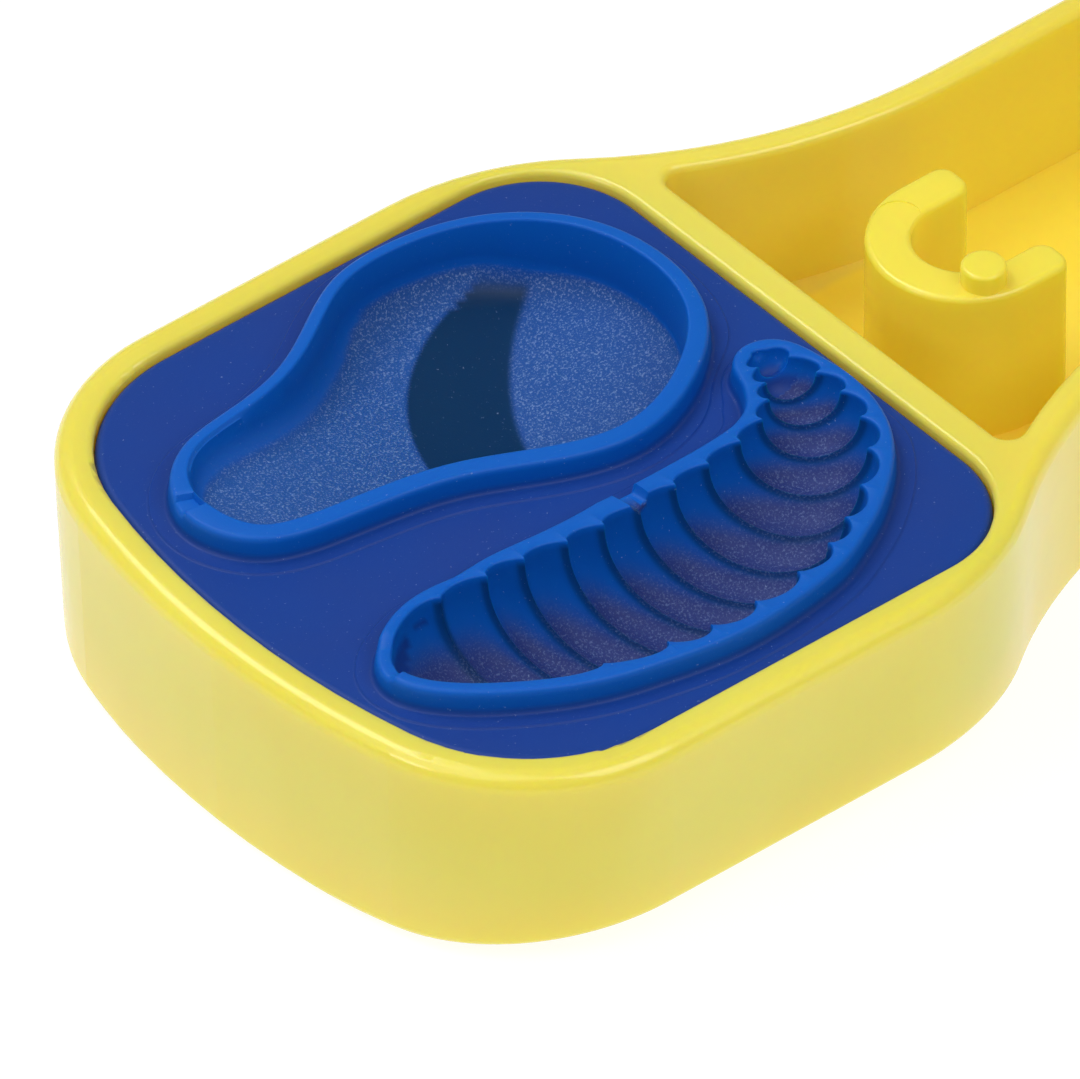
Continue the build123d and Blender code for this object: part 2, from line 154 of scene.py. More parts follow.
def smooth(value):
    """An S-shaped ramp from 0 to 1."""
    value = np.clip(value, 0.0, 1.0)
    return value * value * (3.0 - 2.0 * value)


def closed_spline(points, knots, at):
    """A closed curve through the points, smooth in its second derivative, read at any parameters."""
    points = np.array(points, float)
    count = len(points)
    steps = np.diff(knots)
    ahead = np.roll(points, -1, axis=0)
    slopes = (ahead - points) / steps[:, None]
    system = np.zeros((count, count))
    for i in range(count):
        system[i, i] += 2 * (steps[i - 1] + steps[i])
        system[i, i - 1] += steps[i - 1]
        system[i, (i + 1) % count] += steps[i]
    bends = np.linalg.solve(system, 6 * (slopes - np.roll(slopes, 1, axis=0)))
    at = np.mod(np.asarray(at, float) - knots[0], knots[-1] - knots[0]) + knots[0]
    i = np.clip(np.searchsorted(knots, at, side="right") - 1, 0, count - 1)
    h, left, right = steps[i], at - knots[i], knots[i + 1] - at
    bend_0, bend_1 = bends[i], bends[(i + 1) % count]
    line = points[i] * (right / h)[:, None] + ahead[i] * (left / h)[:, None]
    curve_0 = ((right**3 / h - h * right) / 6)[:, None] * bend_0
    curve_1 = ((left**3 / h - h * left) / 6)[:, None] * bend_1
    return line + curve_0 + curve_1


def chord_knots(points):
    """Parameters in proportion to the distances between the points."""
    points = np.array(points, float)
    gaps = np.linalg.norm(np.roll(points, -1, axis=0) - points, axis=1)
    return np.concatenate([[0.0], np.cumsum(gaps)])


def outward(plan):
    """The unit normal at each point of a clockwise ring, pointing out of it."""
    along = np.roll(plan, -1, axis=0) - np.roll(plan, 1, axis=0)
    along /= np.linalg.norm(along, axis=1)[:, None]
    return np.stack([-along[:, 1], along[:, 0]], axis=1)


def inside(points, ring):
    """Which points lie within a ring, by counting crossings."""
    x, y = points[:, 0][:, None], points[:, 1][:, None]
    x0, y0 = ring[:, 0][None], ring[:, 1][None]
    x1, y1 = np.roll(ring[:, 0], -1)[None], np.roll(ring[:, 1], -1)[None]
    crossed = (y0 > y) != (y1 > y)
    slant = np.where(y1 == y0, 1.0, y1 - y0)
    return (crossed & (x < (x1 - x0) * (y - y0) / slant + x0)).sum(axis=1) % 2 == 1


class Skin:
    """A mesh in the making: rings of points in millimetres, joined by strips and by flat fillings."""

    def __init__(self):
        self.points = []
        self.faces = []

    def ring(self, plan, height):
        """Adds points at one height or at a height each, and returns their numbers."""
        start = len(self.points)
        heights = np.broadcast_to(height, len(plan))
        self.points += [(x, y, z) for (x, y), z in zip(plan, heights)]
        return np.arange(start, start + len(plan))

    def strip(self, first, second, closed=True):
        """Quads between two rows of as many points."""
        count = len(first)
        for i in range(count if closed else count - 1):
            j = (i + 1) % count
            self.faces.append((first[i], first[j], second[j], second[i]))

    def strips(self, rings):
        """Quads through a list of rings."""
        for first, second in zip(rings, rings[1:]):
            self.strip(first, second)

    def flat(self, outer, *holes):
        """Triangles over the flat between an outer ring and any rings inside it."""
        rings = [outer, *holes]
        numbers = np.concatenate(rings)
        plan = [Vector(self.points[i][:2]) for i in numbers]
        edges, start = [], 0
        for ring in rings:
            count = len(ring)
            edges += [(start + i, start + (i + 1) % count) for i in range(count)]
            start += count
        got = delaunay_2d_cdt(plan, edges, [], 0, 1e-7)
        corners = np.array([tuple(v) for v in got[0]])
        triangles = np.array(got[2])
        middles = corners[triangles].mean(axis=1)
        shape = np.array(self.points)[:, :2]
        keep = inside(middles, shape[outer])
        for hole in holes:
            keep &= ~inside(middles, shape[hole])
        source = [numbers[sources[0]] for sources in got[3]]
        for a, b, c in triangles[keep]:
            self.faces.append((source[a], source[b], source[c]))

    def piece(self, name, place=Matrix.Identity(4)):
        """The finished object in metres, closed, with its faces outwards."""
        mesh = bpy.data.meshes.new(name)
        mesh.from_pydata(self.points, [], [tuple(int(i) for i in face) for face in self.faces])
        build = bmesh.new()
        build.from_mesh(mesh)
        bmesh.ops.remove_doubles(build, verts=build.verts, dist=1e-4)
        bmesh.ops.dissolve_degenerate(build, edges=build.edges, dist=1e-5)
        build.transform(place @ Matrix.Diagonal((MM, MM, MM, 1)))
        bmesh.ops.recalc_face_normals(build, faces=build.faces)
        build.to_mesh(mesh)
        build.free()
        mesh.shade_smooth()
        mesh.set_sharp_from_angle(angle=SHARP_ANGLE)
        obj = bpy.data.objects.new(name, mesh)
        bpy.context.scene.collection.objects.link(obj)
        return obj


# Materials


def new_group(name, inputs, outputs):
    """An empty shader group with named float inputs and outputs."""
    group = bpy.data.node_groups.new(name, "ShaderNodeTree")
    group.interface.new_socket("Vector", in_out="INPUT", socket_type="NodeSocketVector")
    for label, value in inputs:
        socket = group.interface.new_socket(label, in_out="INPUT", socket_type="NodeSocketFloat")
        socket.default_value = value
    for label in outputs:
        group.interface.new_socket(label, in_out="OUTPUT", socket_type="NodeSocketFloat")
    return group, group.nodes.new("NodeGroupInput"), group.nodes.new("NodeGroupOutput")


def noise(tree, vector, scale, detail=2.0, roughness=0.5):
    """A noise texture on a vector."""
    node = tree.nodes.new("ShaderNodeTexNoise")
    tree.links.new(vector, node.inputs["Vector"])
    if isinstance(scale, float):
        node.inputs["Scale"].default_value = scale
    else:
        tree.links.new(scale, node.inputs["Scale"])
    node.inputs["Detail"].default_value = detail
    node.inputs["Roughness"].default_value = roughness
    return node.outputs["Fac"]


def ramp(tree, value, low, high):
    """0 below one value and 1 above the other."""
    node = tree.nodes.new("ShaderNodeMapRange")
    node.interpolation_type = "SMOOTHSTEP"
    tree.links.new(value, node.inputs["Value"])
    node.inputs["From Min"].default_value = low
    node.inputs["From Max"].default_value = high
    return node.outputs["Result"]


def maths(tree, kind, first, second):
    """One arithmetic step on sockets or numbers."""
    node = tree.nodes.new("ShaderNodeMath")
    node.operation = kind
    for value, socket in ((first, node.inputs[0]), (second, node.inputs[1])):
        if isinstance(value, (int, float)):
            socket.default_value = value
        else:
            tree.links.new(value, socket)
    return node.outputs[0]


def scaled(tree, value, factor, offset):
    """A value times a factor plus an offset."""
    result = maths(tree, "MULTIPLY_ADD", value, factor)
    result.node.inputs[2].default_value = offset
    return result


def blended(tree, factor, first, second):
    """One colour turning into another, each a socket or a colour."""
    node = tree.nodes.new("ShaderNodeMix")
    node.data_type = "RGBA"
    if isinstance(factor, (int, float)):
        node.inputs[0].default_value = factor
    else:
        tree.links.new(factor, node.inputs[0])
    for value, socket in ((first, node.inputs[6]), (second, node.inputs[7])):
        if isinstance(value, tuple):
            socket.default_value = (*value, 1.0)
        else:
            tree.links.new(value, socket)
    return node.outputs[2]


def flecks_group():
    """Fine moulded texture: a mask of small flecks, and the height that goes with them; on the blue rubber
    the flecks are painted glints.
    """
    group, given, out = new_group(
        "fine_flecks", [("Size", 5200.0), ("Cover", 0.6)], ["Flecks", "Height"]
    )
    fine = noise(group, given.outputs["Vector"], given.outputs["Size"], 3.0, 0.7)
    above = maths(group, "SUBTRACT", fine, given.outputs["Cover"])
    group.links.new(ramp(group, above, 0.0, 0.12), out.inputs["Flecks"])
    group.links.new(fine, out.inputs["Height"])
    return group


def unevenness_group():
    """Slow variation over a moulded surface, as a mask and as a height."""
    group, given, out = new_group("moulded_unevenness", [("Size", 160.0)], ["Mask", "Height"])
    broad = noise(group, given.outputs["Vector"], given.outputs["Size"], 2.0, 0.45)
    group.links.new(ramp(group, broad, 0.35, 0.68), out.inputs["Mask"])
    group.links.new(broad, out.inputs["Height"])
    return group


def use_group(tree, group, vector, **values):
    """A group's node with its values set."""
    node = tree.nodes.new("ShaderNodeGroup")
    node.node_tree = group
    tree.links.new(vector, node.inputs["Vector"])
    for label, value in values.items():
        node.inputs[label].default_value = value
    return node


def new_material(name, colour, roughness, **extras):
    """A material with its shader's plain values set, and the Object coordinates to work from."""
    material = bpy.data.materials.new(name)
    material.use_nodes = True
    tree = material.node_tree
    shader = tree.nodes["Principled BSDF"]
    shader.inputs["Base Color"].default_value = (*colour, 1.0)
    shader.inputs["Roughness"].default_value = roughness
    for label, value in extras.items():
        shader.inputs[label.replace("_", " ")].default_value = value
    where = tree.nodes.new("ShaderNodeTexCoord").outputs["Object"]
    return material, tree, shader, where


def add_bump(tree, shader, height, strength, distance):
    """A bump that feeds the shader's normal."""
    node = tree.nodes.new("ShaderNodeBump")
    node.inputs["Strength"].default_value = strength
    node.inputs["Distance"].default_value = distance
    tree.links.new(height, node.inputs["Height"])
    tree.links.new(node.outputs["Normal"], shader.inputs["Normal"])


def attribute(tree, name):
    """A value stored on the mesh's points."""
    node = tree.nodes.new("ShaderNodeAttribute")
    node.attribute_name = name
    return node.outputs["Fac"]


def arm_plastic(settings):
    """Glossy yellow moulded plastic, a little cloudy, with a few dark specks, and a warmer yellow painted
    inside the handle's channel as painted bounce light and glow.
    """
    colour = tuple(settings.arm_colour)
    material, tree, shader, where = new_material(
        "glossy_yellow_plastic", colour, 0.24, Coat_Weight=0.2, Coat_Roughness=0.08,
        Subsurface_Weight=0.6, Subsurface_Scale=0.004, Specular_IOR_Level=0.45,
    )
    shader.inputs["Subsurface Radius"].default_value = (1.0, 0.62, 0.08)
    broad = use_group(tree, bpy.data.node_groups["moulded_unevenness"], where, Size=90.0)
    warm = tuple(channel * share for channel, share in zip(colour, (0.98, 0.96, 0.85)))
    base = blended(tree, broad.outputs["Mask"], colour, warm)
    # Painted light: a warmer yellow inside the handle's channel, standing in for light bounced between its
    # walls and glowing through them.
    place = tree.nodes.new("ShaderNodeSeparateXYZ")
    tree.links.new(where, place.inputs["Vector"])
    from_middle = maths(tree, "ABSOLUTE", place.outputs["Y"], 0.0)
    hollow = maths(tree, "SUBTRACT", 1.0, ramp(tree, from_middle, *HOLLOW_HALF_WIDTH))
    hollow = maths(tree, "MULTIPLY", hollow, ramp(tree, place.outputs["X"], *HOLLOW_START))
    base = blended(tree, hollow, base, tuple(settings.painted_glow_colour))
    specks = use_group(tree, bpy.data.node_groups["fine_flecks"], where, Size=700.0, Cover=0.83)
    base = blended(tree, specks.outputs["Flecks"], base, (0.16, 0.12, 0.02))
    tree.links.new(base, shader.inputs["Base Color"])
    fine = use_group(tree, bpy.data.node_groups["moulded_unevenness"], where, Size=420.0)
    tree.links.new(scaled(tree, fine.outputs["Mask"], 0.04, 0.22), shader.inputs["Roughness"])
    add_bump(tree, shader, fine.outputs["Height"], 0.05, 0.0002)
    return material


def mould_rubber(settings):
    """Translucent blue soft rubber: satin lips, sparkling eroded floors whose lighter blue and bright
    flecks are partly painted light, a lighter blue on lips and lit walls that is thin rubber and painted
    light, and painted shade in the hollows.
    """
    colour = tuple(settings.mould_colour)
    material, tree, shader, where = new_material(
        "blue_moulding_rubber", colour, 0.3, Specular_IOR_Level=0.2,
        Subsurface_Weight=0.2, Subsurface_Scale=0.001,
    )
    shader.inputs["Subsurface Radius"].default_value = (0.1, 0.35, 1.0)
    broad = use_group(tree, bpy.data.node_groups["moulded_unevenness"], where, Size=150.0)
    tinge = maths(tree, "MULTIPLY", broad.outputs["Mask"], 0.12)
    tinge = maths(tree, "MAXIMUM", tinge, attribute(tree, "violet"))
    base = blended(tree, tinge, colour, VIOLET)
    # Lighter blue: partly the lips' thin rubber, partly painted light on lit walls.
    base = blended(tree, attribute(tree, "raised"), base, tuple(settings.thin_and_lit_wall_colour))
    # Painted shade: dark teal on the dish's slope and in the grub's grooves.
    base = blended(tree, attribute(tree, "painted_shade"), base, tuple(settings.painted_shade_colour))
    grain = attribute(tree, "grain")
    # Floors: a lighter blue on the grained floors, partly their eroded texture and partly painted light on
    # the lit floor.
    floor_share = maths(tree, "MULTIPLY", grain, maths(tree, "SUBTRACT", 0.9, attribute(tree, "violet")))
    base = blended(tree, floor_share, base, tuple(settings.floor_colour))
    # Painted glints: light flecks on the grained floors, and sparse ones everywhere.
    flecks = use_group(tree, bpy.data.node_groups["fine_flecks"], where, Size=9000.0, Cover=0.52)
    sparse_glints = use_group(tree, bpy.data.node_groups["fine_flecks"], where, Size=5500.0, Cover=0.66)
    lit = maths(tree, "MULTIPLY", grain, maths(tree, "MULTIPLY", flecks.outputs["Flecks"], 0.4))
    lit = maths(tree, "MAXIMUM", lit, maths(tree, "MULTIPLY", sparse_glints.outputs["Flecks"], 0.5))
    base = blended(tree, lit, base, tuple(settings.painted_glint_colour))
    tree.links.new(base, shader.inputs["Base Color"])
    tree.links.new(scaled(tree, grain, -0.08, 0.44), shader.inputs["Roughness"])
    height = maths(tree, "MULTIPLY", flecks.outputs["Height"], maths(tree, "ADD", grain, 0.12))
    height = maths(tree, "ADD", height, maths(tree, "MULTIPLY", broad.outputs["Height"], 0.6))
    add_bump(tree, shader, height, 0.55, 0.00012)
    return material


def pad_rubber(settings):
    """Matt blue soft rubber with a fine pebbled skin."""
    material, tree, shader, where = new_material("matt_blue_rubber", tuple(settings.pad_colour), 0.6)
    pebble = use_group(tree, bpy.data.node_groups["fine_flecks"], where, Size=2600.0, Cover=0.6)
    worn = blended(tree, pebble.outputs["Flecks"], tuple(settings.pad_colour), (0.05, 0.16, 0.42))
    tree.links.new(worn, shader.inputs["Base Color"])
    add_bump(tree, shader, pebble.outputs["Height"], 0.5, 0.00008)
    return material


def metal(name, colour, roughness, line_scale):
    """Bright metal with fine drawn lines along Y."""
    material, tree, shader, where = new_material(name, colour, roughness, Metallic=1.0)
    stretch = tree.nodes.new("ShaderNodeMapping")
    stretch.inputs["Scale"].default_value = (1.0, 0.06, 1.0)
    tree.links.new(where, stretch.inputs["Vector"])
    lines = noise(tree, stretch.outputs["Vector"], line_scale, 2.0, 0.6)
    tree.links.new(scaled(tree, lines, 0.25, roughness - 0.1), shader.inputs["Roughness"])
    add_bump(tree, shader, lines, 0.15, 0.00004)
    return material


def bearing_plastic():
    """Natural white bearing plastic, waxy and a little mottled."""
    material, tree, shader, where = new_material(
        "natural_bearing_plastic", (0.8, 0.79, 0.74), 0.45, Subsurface_Weight=0.2, Subsurface_Scale=0.001
    )
    broad = use_group(tree, bpy.data.node_groups["moulded_unevenness"], where, Size=600.0)
    base = blended(tree, broad.outputs["Mask"], (0.82, 0.81, 0.77), (0.72, 0.7, 0.63))
    tree.links.new(base, shader.inputs["Base Color"])
    add_bump(tree, shader, broad.outputs["Height"], 0.2, 0.0001)
    return material


def dress(obj, material):
    """Gives an object one material throughout."""
    obj.data.materials.clear()
    obj.data.materials.append(material)


# The mould inserts


def slab_plan(inset, count=56):
    """The insert's outline moved in by an inset: a bulged front, and straight sides with round corners."""
    half = SLAB[1].y - inset
    front_x = SLAB[0].x + inset
    rear_x = SLAB[1].x - inset
    front_r, corner_r, rear_r = FRONT_R - inset, FRONT_CORNER_R - inset, REAR_CORNER_R - inset
    centre_x = front_x + front_r
    corner_y = half - corner_r
    corner_x = centre_x - ((front_r - corner_r) ** 2 - corner_y**2) ** 0.5
    lean = np.arctan2(corner_y, centre_x - corner_x)
    arcs = [
        (centre_x, 0.0, front_r, pi, pi - lean, count),
        (corner_x, corner_y, corner_r, pi - lean, pi / 2, count),
        (rear_x - rear_r, half - rear_r, rear_r, pi / 2, 0.0, count // 2),
    ]
    side = []
    for x, y, r, start, end, steps in arcs:
        turns = np.linspace(start, end, steps)
        arc = np.stack([x + r * np.cos(turns), y + r * np.sin(turns)], axis=1)
        if side and np.linalg.norm(arc[0] - side[-1][-1]) > 1.0:
            side.append(np.linspace(side[-1][-1], arc[0], 40)[1:])
        side.append(arc[1:] if side else arc)
    side.append(np.linspace(side[-1][-1], (rear_x, 0.0), 30)[1:])
    side = np.concatenate(side)
    other = side[1:-1][::-1] * (1, -1)
    return np.concatenate([side, other])


def pear_plans(count=440):
    """The pear's lip in plan, outside and inside, both with the same count of points."""
    knots = chord_knots(PEAR_RING)
    outer = closed_spline(PEAR_RING, knots, np.linspace(0, knots[-1], count, endpoint=False))
    away = outward(outer)
    width = 0.88 - 0.2 * away[:, 1] + 0.45 * np.clip(-away[:, 0], 0, 1) ** 4
    return outer, away, outer - away * width[:, None]


def grub_lobes(at):
    """1 on the crown of a body ring and 0 on the sharp ridge between two."""
    return np.abs(np.cos(pi * at)) ** 0.6


def two_sides(values, far_count):
    """The grub's outer side and its inner side, both from the head to the tail."""
    return values[:far_count], np.concatenate([values[:1], values[:far_count:-1]])


def grub_plans():
    """The grub's cavity edge, smooth and scalloped, its lip's outer edge and each point's ring number."""
    ends = np.linspace(0, 1, 20, endpoint=False) ** 2
    middle = np.arange(1, GRUB_SEGMENTS - 1, 1 / 18)
    far = np.concatenate([ends, middle, GRUB_SEGMENTS - np.linspace(1, 0, 20, endpoint=False) ** 2])
    at = np.concatenate([far, [GRUB_SEGMENTS], 2 * GRUB_SEGMENTS - far[:0:-1]])
    edge = closed_spline(GRUB_RING, np.arange(2 * GRUB_SEGMENTS + 1), at)
    away = outward(edge)
    number = np.minimum(at, 2 * GRUB_SEGMENTS - at)
    depth = np.where(at < GRUB_SEGMENTS, 0.5, 0.62) * smooth((number - 0.4) / 1.6)
    pinch = depth * (1 - grub_lobes(at))
    width = np.interp(at, *np.array(GRUB_LIP_WIDTH).T)
    return edge, away, pinch, edge + away * width[:, None], at, len(far)


def room_round(outer, edge, other):
    """How wide the low step round a lip can be, between the slab's edge and the other lip."""
    to_edge = np.linalg.norm(outer[:, None] - edge[None], axis=2).min(axis=1)
    to_other = np.linalg.norm(outer[:, None] - other[None], axis=2).min(axis=1)
    width = np.clip(np.minimum(to_edge - 0.2, 0.5 * to_other - 0.2), 0.3, 0.9)
    return sum(np.roll(width, shift) for shift in range(-6, 7)) / 13


def lip_rings(skin, outer, away, step, dip):
    """The step round a lip, its foot, its wall and its outer top edge, from outside in."""
    profile = [(0.1, 0.0), (0.05, 0.0), (0.0, 0.04), (-0.04, 0.08), (-0.08, 0.08)]
    rings = [skin.ring(outer + away * (step + out)[:, None], z) for out, z in profile]
    for out, z in [(0.25, 0.08), (0.18, 0.09), (0.09, 0.14), (0.03, 0.27), (0.0, 0.5), (-0.04, 0.95)]:
        rings.append(skin.ring(outer + away * out, np.minimum(z, LIP - 0.3 - dip)))
    for out, drop in [(-0.06, 0.22), (-0.11, 0.1), (-0.19, 0.025), (-0.28, 0.0)]:
        rings.append(skin.ring(outer + away * out, LIP - drop - dip))
    skin.strips(rings)
    return rings


def dish_shares(plan):
    """How far down the dish's two slopes are: the one behind its crisp edge, and the one facing it."""
    edge_distance = np.linalg.norm(plan - DISH_EDGE[0], axis=-1)
    fall = np.clip((DISH_EDGE[1] - edge_distance) / DISH_EDGE_RUN, 0, 1.2)
    rise = np.clip((DISH_RIGHT_X - plan[..., 0]) / DISH_RIGHT_RUN, 0, 1.2)
    return fall, rise


def pear_floor(plan):
    """How high the pear's floor is: a slope down from the narrow end, and a dish behind a crisp edge."""
    slope = -PEAR_SHALLOW - PEAR_SLOPE_DROP * smooth((plan[..., 0] + 13.5) / 15.0)
    fall, rise = dish_shares(plan)
    lower = (fall + rise - np.sqrt((fall - rise) ** 2 + 0.012)) / 2
    return slope - DISH_DEPTH * np.clip(lower, 0, 1)


def pear_cavity(skin, inner, top_ring, top):
    """The pear's hollow below its inner edge."""
    away = outward(inner)
    rings = [top_ring]
    for inwards, drop in [(0.0, 0.0), (0.05, 0.03), (0.1, 0.14)]:
        rings.append(skin.ring(inner - away * (inwards - 0.06), top - drop))
    foot = inner - away * 0.14
    start, end = PEAR_SPINE
    run = end - start
    share = np.clip((foot - start) @ run / (run @ run), 0, 1)
    spine = start + share[:, None] * run
    reach = np.linalg.norm(spine - foot, axis=1)
    corner = 0.7 + 1.0 * np.clip(away[:, 1], 0, 1) ** 1.5
    last_corner_row, floor_rows = 7, 56
    for row in range(last_corner_row + 1 + floor_rows):
        if row <= last_corner_row:
            distance = corner * (row / last_corner_row) ** 1.5
        else:
            distance = corner + (reach - corner) * (row - last_corner_row) / floor_rows
        plan = foot + (spine - foot) * (distance / reach)[:, None]
        fillet = corner - np.sqrt(np.maximum(corner**2 - np.maximum(corner - distance, 0) ** 2, 0))
        height = np.minimum(pear_floor(plan) + fillet, top - 0.2)
        rings.append(skin.ring(plan, height))
    skin.strips(rings)


def grub_cavity(skin, edge, pinch, far_count, top, dip):
    """The grub's ringed hollow: half-round sections that fan round the curl."""
    far, near = two_sides(edge, far_count)
    tip = edge[far_count]
    centre = (far + near) / 2
    half = (far - near) / 2
    radius = np.linalg.norm(half, axis=1)
    far_pinch, near_pinch = (np.minimum(side, 0.4 * radius) for side in two_sides(pinch, far_count))
    across = half / np.maximum(radius, 1e-6)[:, None]
    rows = []
    steps = 44
    for k in range(steps + 1):
        turn = pi * k / steps
        squeeze = far_pinch * (1 + cos(turn)) / 2 + near_pinch * (1 - cos(turn)) / 2
        size = np.maximum(radius - squeeze, 0)
        plan = centre + across * (size * cos(turn))[:, None]
        rows.append(skin.ring(plan, np.minimum(top - 1.02 * size * sin(turn), top - dip[:far_count])))
    end = skin.ring(tip[None], top)
    for first, second in zip(rows, rows[1:]):
        skin.strip(first, second, closed=False)
        skin.faces.append((first[-1], end[0], second[-1]))
    return np.concatenate([rows[0], end, rows[-1][:0:-1]])


def gate(at, middle, half, depth):
    """The dip of a square gate mark in a lip's top."""
    return depth * smooth((half - np.abs(at - middle)) / (0.25 * half))


def slab_rings(skin, rounding):
    """The slab's side and its rounded top edge."""
    rings = [skin.ring(slab_plan(0.0), SLAB_LOW)]
    for k in range(6):
        turn = pi / 2 * k / 5
        inset = rounding * (1 - cos(turn))
        rings.append(skin.ring(slab_plan(inset), -rounding * (1 - sin(turn))))
    rings.append(skin.ring(slab_plan(rounding + EDGE_SUPPORT), 0.0))
    skin.strips(rings)
    return rings[0], rings[-1]


def slab_back(skin, low_ring):
    """The slab's underside with its two stepped pegs."""
    turns = np.linspace(0, tau, 48, endpoint=False)
    circle = np.stack([np.cos(turns), -np.sin(turns)], axis=1)
    necks = []
    for x in (-PEG_X, PEG_X):
        profile = [
            (PEG_R + 0.1, SLAB_LOW), (PEG_R, SLAB_LOW - 0.1), (PEG_R, PEG_HEAD[1]),
            (PEG_HEAD_R - 0.25, PEG_HEAD[1]), (PEG_HEAD_R, PEG_HEAD[1] - 0.25),
            (PEG_HEAD_R, PEG_HEAD[0] + 0.3), (PEG_HEAD_R - 0.3, PEG_HEAD[0]),
            (PEG_HEAD_R - 0.5, PEG_HEAD[0]),
        ]
        rings = [skin.ring(circle * r + (x, 0), z) for r, z in profile]
        skin.strips(rings)
        skin.flat(rings[-1])
        necks.append(rings[0])
    skin.flat(low_ring, *necks)


def grub_number(plan):
    """Which cross-section of the grub each point lies on, counted in body rings."""
    edge, _, _, _, at, far_count = grub_plans()
    far, near = two_sides(edge, far_count)
    along = near - far
    share = ((plan[:, None] - far) * along).sum(axis=2) / np.maximum((along**2).sum(axis=1), 1e-9)
    miss = np.linalg.norm(far + np.clip(share, 0, 1)[..., None] * along - plan[:, None], axis=2)
    return at[np.argmin(miss, axis=1)]


def paint_mould(obj, from_frame):
    """Stores on each point how grained the surface is, where the lighter blue of thin lips and painted
    light on lit walls goes, where painted shade goes, and where the grub is violet.
    """
    mesh = obj.data
    count = len(mesh.vertices)
    place = np.zeros(count * 3)
    mesh.vertices.foreach_get("co", place)
    facing = np.zeros(count * 3)
    mesh.vertices.foreach_get("normal", facing)
    turn = np.array(from_frame.to_3x3())
    place = place.reshape(-1, 3) @ turn.T + np.array(from_frame.translation)
    place /= MM
    facing = facing.reshape(-1, 3) @ turn.T
    up = facing[:, 2]
    x, y, z = place.T
    pear = y > BETWEEN_HOLLOWS_Y + BETWEEN_HOLLOWS_SLOPE * x
    plan = place[:, :2]
    knots = chord_knots(PEAR_RING)
    inner = inside(plan, closed_spline(PEAR_RING, knots, np.linspace(0, knots[-1], 300)))
    # Grain lies on the pear's floor, and near the narrow end only where that is almost level; it marks the
    # eroded texture and also the lit floor, so the lighter blue and flecks laid on it are partly painted
    # light and painted glints.
    floor = inner & (z < 0.0) & (up > 0.25)
    grain = np.where(floor, smooth((up - 0.35 - 0.42 * smooth((3.0 - x) / 4.0)) / 0.2), 0.0)
    # The painted shade is a dark band on the slope behind the dish's crisp edge, where that slope lies in
    # shadow.
    fall, rise = dish_shares(plan)
    band = smooth(fall / 0.04) * smooth((rise - fall + 0.08) / 0.16)
    painted_shade = np.where(floor, band * smooth((up - 0.4) / 0.4), 0.0)
    grain *= 1 - painted_shade
    # The grub's grooves get painted shade, its rings violet, and its steep sides the lips' lighter blue as
    # painted light.
    grub_floor = ~pear & (z < 1.1) & (x > -14) & inside(plan, np.array(GRUB_RING))
    grain = np.where(grub_floor, 0.45 * smooth((up - 0.35) / 0.5), grain)
    violet = np.where(grub_floor, 0.8 * smooth((up - 0.25) / 0.4), 0.0)
    painted_shade = np.where(grub_floor, 0.8 * smooth((0.62 - grub_lobes(grub_number(plan))) / 0.4), painted_shade)
    # The lighter blue: on the lips partly their thin rubber, and painted light on the pear's low inner
    # walls and the grub's steep sides.
    raised = smooth((z - 0.12) / 0.5) * (1 - grain) * np.where(grub_floor, 0.0, 1.0)
    raised = np.maximum(raised, np.where(inner & (z < 0.6), 0.8 * (1 - grain) * (1 - painted_shade), 0.0))
    raised = np.maximum(raised, np.where(grub_floor, 0.9 * smooth((0.75 - up) / 0.45), 0.0))
    for name, values in (("grain", grain), ("painted_shade", painted_shade), ("raised", raised), ("violet", violet)):
        layer = mesh.attributes.new(name, "FLOAT", "POINT")
        layer.data.foreach_set("value", values.astype(np.float32))


def lower_mould_skin():
    """Slab with two lips that stand proud of its flat, round the two hollows."""
    skin = Skin()
    low, top = slab_rings(skin, EDGE_ROUND)
    edge_plan = slab_plan(EDGE_ROUND + EDGE_SUPPORT)
    outer, away, inner = pear_plans()
    edge, edge_away, pinch, lip, at, far_count = grub_plans()
    round_pear = np.linspace(0, 1, len(outer), endpoint=False)
    dip = gate(round_pear, 0.012, 0.009, 0.3)
    pear = lip_rings(skin, outer, away, room_round(outer, edge_plan, lip), dip)
    edge_top = skin.ring(inner + away * PEAR_EDGE_OUT, LIP - dip)
    skin.strip(pear[-1], edge_top)
    pear_cavity(skin, inner, edge_top, LIP)
    dip = gate(at, 0.35, 0.3, 0.3) + gate(at, 6.7, 0.3, 0.45)
    grub = lip_rings(skin, lip, outward(lip), room_round(lip, edge_plan, outer), dip)
    rim = grub_cavity(skin, edge, pinch, far_count, LIP - 0.12, dip)
    rim_plan = np.array([skin.points[i][:2] for i in rim])
    rings = [rim]
    for out, drop in ((0.03, 0.04), (0.1, 0.0)):
        rings.append(skin.ring(rim_plan + edge_away * out, LIP - drop - dip))
    skin.strips([*rings, grub[-1]])
    skin.flat(top, pear[0], grub[0])
    slab_back(skin, low)
    return skin


def nest_rings(skin, outer, away):
    """The edge of the shallow nest that a lower lip enters, from outside in."""
    profile = [(0.08, 0.0), (0.04, 0.0), (0.01, -0.02), (0.0, -0.08), (-0.03, 0.1 - NEST_DEPTH)]
    profile += [(-0.08, 0.03 - NEST_DEPTH), (-0.2, -NEST_DEPTH), (-0.28, -NEST_DEPTH)]
    rings = [skin.ring(outer + away * (NEST_GAP + out), z) for out, z in profile]
    skin.strips(rings)
    return rings


